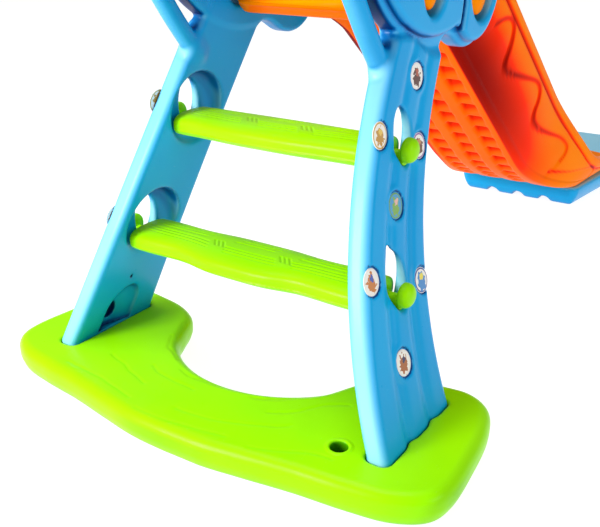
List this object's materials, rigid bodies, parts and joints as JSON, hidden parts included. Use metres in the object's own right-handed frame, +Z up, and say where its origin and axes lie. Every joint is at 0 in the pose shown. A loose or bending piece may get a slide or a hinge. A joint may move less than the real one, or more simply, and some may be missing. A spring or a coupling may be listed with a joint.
{
  "type": "toddler slide",
  "caption": "Low moulded slide with a horseshoe base, bowed side panels, round heads with grab handles, rounded steps and a flat landing foot.",
  "frame": {"origin": "middle of the footprint's bounding box, on the floor", "axes": "+X from the ladder to the landing foot, +Y to the left side of a child who slides, +Z up"},
  "size_m": [1.867, 0.772, 0.934],
  "materials": {
    "green_plastic": "glossy lime green blow-moulded polyethylene",
    "blue_plastic": "glossy sky blue blow-moulded polyethylene",
    "orange_plastic": "glossy orange blow-moulded polyethylene",
    "label_film": "printed vinyl label with a clear coat",
    "screw_steel": "zinc-plated steel"
  },
  "bodies": {
    "root": {"base_plate": "green_plastic", "side_panel_right": "blue_plastic", "side_panel_left": "blue_plastic", "step_lower": "green_plastic", "step_upper": "green_plastic", "slide_bed": "orange_plastic", "landing_foot": "blue_plastic", "label_right_1": "label_film", "label_right_2": "label_film", "label_right_3": "label_film", "label_right_4": "label_film", "label_right_5": "label_film", "label_right_6": "label_film", "label_right_7": "label_film", "panel_screw_right_1": "screw_steel", "panel_screw_right_2": "screw_steel", "label_left_1": "label_film", "label_left_2": "label_film", "label_left_3": "label_film", "label_left_4": "label_film", "label_left_5": "label_film", "label_left_6": "label_film", "label_left_7": "label_film", "panel_screw_left_1": "screw_steel", "panel_screw_left_2": "screw_steel", "foot_screw_1": "screw_steel", "foot_screw_2": "screw_steel", "foot_screw_3": "screw_steel", "foot_screw_4": "screw_steel"}
  },
  "joints": []
}
